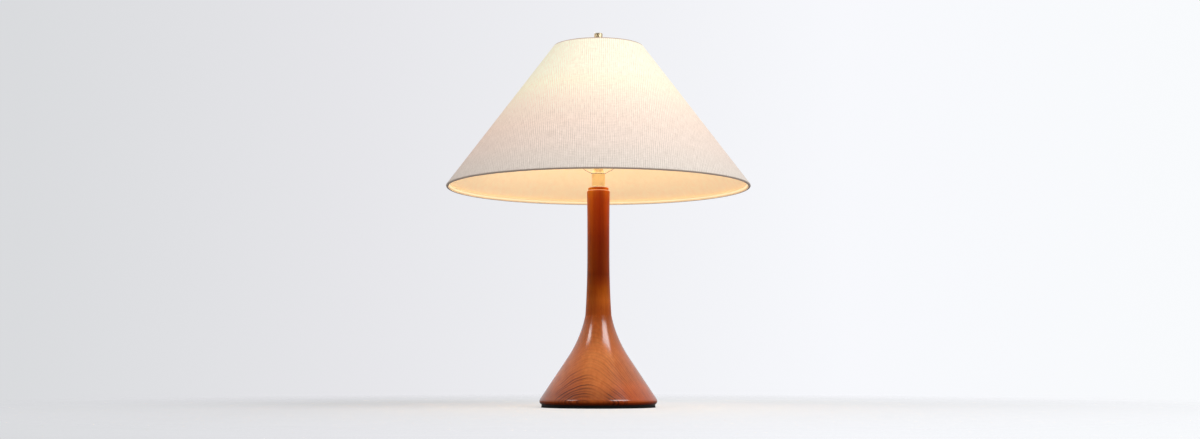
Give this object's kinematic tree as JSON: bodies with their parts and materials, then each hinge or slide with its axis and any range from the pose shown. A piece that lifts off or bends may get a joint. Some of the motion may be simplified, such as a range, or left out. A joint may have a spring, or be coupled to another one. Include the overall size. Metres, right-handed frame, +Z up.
{
  "type": "table lamp",
  "caption": "Table lamp with a turned, flared wooden column and foot, a wide linen cone shade on a harp, and a screw-base bulb; shade, finial, bulb, key and harp sleeves move.",
  "frame": {"origin": "centre of the felt's underside, on the column's axis", "axes": "+Z up along the column; the front is towards -Y and the lead's inlet towards +Y; the harp stands in the XZ plane"},
  "size_m": [0.5083, 0.5084, 0.6282],
  "materials": {
    "teak": "satin oiled teak with long grain",
    "linen": "plain-woven natural linen",
    "cream_liner": "matt translucent lining",
    "brass": "polished, lacquered",
    "plated_brass": "satin plated",
    "zinc_steel": "zinc plated",
    "white_wire": "white coated",
    "cast_iron": "raw casting, turned face",
    "black_steel": "matt black paint",
    "black_felt": "pressed felt",
    "black_plastic": "moulded",
    "insulating_card": "waxed card",
    "porcelain": "glazed porcelain",
    "frosted_glass": "frosted, lit",
    "clear_glass": "clear",
    "bulb_aluminium": "rolled",
    "black_glaze": "black glass"
  },
  "bodies": {
    "stand": {"felt_pad": "black_felt", "closing_plate": "black_steel", "plate_screws": "zinc_steel", "wood_foot": "teak", "wood_column": "teak", "foot_weight": "cast_iron", "weight_washer": "zinc_steel", "lock_washer": "zinc_steel", "pipe_nut": "zinc_steel", "threaded_pipe": "zinc_steel", "inlet_bushing": "black_plastic", "neck_ring": "brass", "neck_tube": "brass", "seat_washer": "zinc_steel", "harp_saddle": "plated_brass", "saddle_nut": "plated_brass", "harp_wire": "plated_brass", "socket_cap": "plated_brass", "cap_set_screw": "zinc_steel", "socket_shell": "plated_brass", "socket_insulator": "insulating_card", "socket_core": "porcelain", "terminal_screws": "brass", "thread_shell": "plated_brass", "centre_contact": "plated_brass"},
    "swivel": {"swivel_stud": "plated_brass"},
    "shade": {"shade_fabric": "linen", "shade_liner": "cream_liner", "shade_top_ring": "white_wire", "shade_bottom_ring": "white_wire", "spider": "white_wire"},
    "finial_knob": {"finial": "brass"},
    "switch": {"switch_shaft": "zinc_steel", "switch_key": "black_plastic"},
    "bulb": {"bulb_glass": "frosted_glass", "bulb_screw_cap": "bulb_aluminium", "bulb_insulator": "black_glaze", "bulb_tip": "zinc_steel", "bulb_mount": "clear_glass", "bulb_filament": "zinc_steel"},
    "left_sleeve": {"harp_sleeve_left": "plated_brass"},
    "right_sleeve": {"harp_sleeve_right": "plated_brass"}
  },
  "joints": [
    {"name": "shade_swivel", "type": "hinge", "parent": "stand", "child": "swivel", "pos_m": [0, 0, 0.6], "axis": [0, 0, 1], "continuous": true},
    {"name": "shade_lift", "type": "slide", "parent": "swivel", "child": "shade", "axis": [0, 0, 1], "range_m": [0, 0.26]},
    {"name": "finial_turn", "type": "hinge", "parent": "shade", "child": "finial_knob", "pos_m": [0, 0, 0.62], "axis": [0, 0, 1], "continuous": true},
    {"name": "switch_turn", "type": "hinge", "parent": "stand", "child": "switch", "pos_m": [0, -0.02, 0.4175], "axis": [0, -1, 0], "continuous": true},
    {"name": "bulb_turn", "type": "hinge", "parent": "stand", "child": "bulb", "pos_m": [0, 0, 0.44], "axis": [0, 0, 1], "range_deg": [0, 1260]},
    {"name": "left_sleeve_slide", "type": "slide", "parent": "stand", "child": "left_sleeve", "axis": [0, 0, 1], "range_m": [0, 0.014]},
    {"name": "right_sleeve_slide", "type": "slide", "parent": "stand", "child": "right_sleeve", "axis": [0, 0, 1], "range_m": [0, 0.014]}
  ]
}
